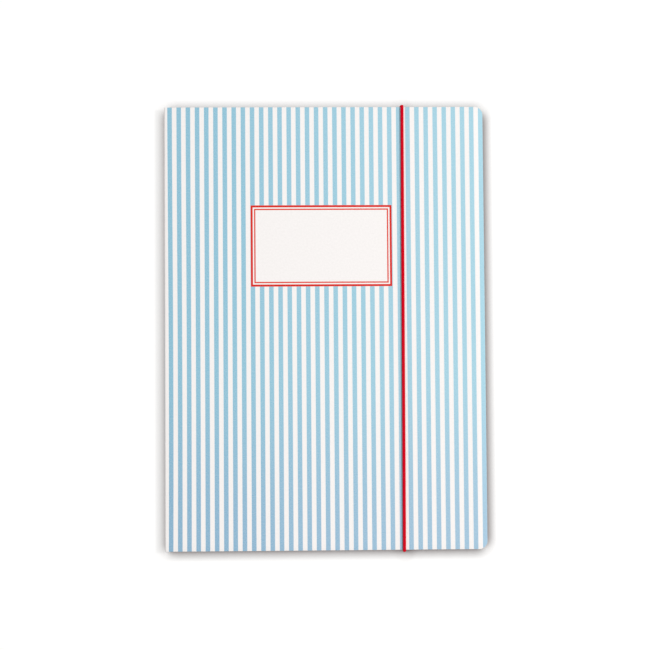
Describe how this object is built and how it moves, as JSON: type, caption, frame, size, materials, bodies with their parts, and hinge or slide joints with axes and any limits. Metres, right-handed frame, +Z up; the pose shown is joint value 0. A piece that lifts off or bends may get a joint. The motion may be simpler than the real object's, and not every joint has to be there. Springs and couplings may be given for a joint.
{
  "type": "three flap folder",
  "caption": "Flat card folder for A4 papers with inner flaps, striped cover with a bare framed label, and a red elastic closure.",
  "frame": {"origin": "centre of the closed folder's footprint, at the level of the surface that it lies on", "axes": "+X from the spine to the fore-edge, +Y up the page to the head, +Z up through the folder from its back to its front cover"},
  "size_m": [0.231, 0.3234, 0.0116],
  "materials": {
    "printed_card": "matt printed card, light blue stripes on white, with red label lines",
    "red_elastic": "woven red cover over a rubber core",
    "crimped_steel": "nickel plated, satin"
  },
  "bodies": {
    "back": {"back_with_flaps": "printed_card", "elastic": "red_elastic", "elastic_bar_bottom": "crimped_steel", "elastic_bar_top": "crimped_steel"},
    "spine": {"spine": "printed_card"},
    "front_cover": {"front_cover": "printed_card"}
  },
  "joints": [
    {"name": "spine_fold", "type": "hinge", "parent": "back", "child": "spine", "pos_m": [-0.1155, 0, 0.00165], "axis": [0, -1, 0], "range_deg": [0, 90]},
    {"name": "cover_fold", "type": "hinge", "parent": "spine", "child": "front_cover", "pos_m": [-0.1155, 0, 0.00995], "axis": [0, -1, 0], "range_deg": [0, 90]}
  ]
}
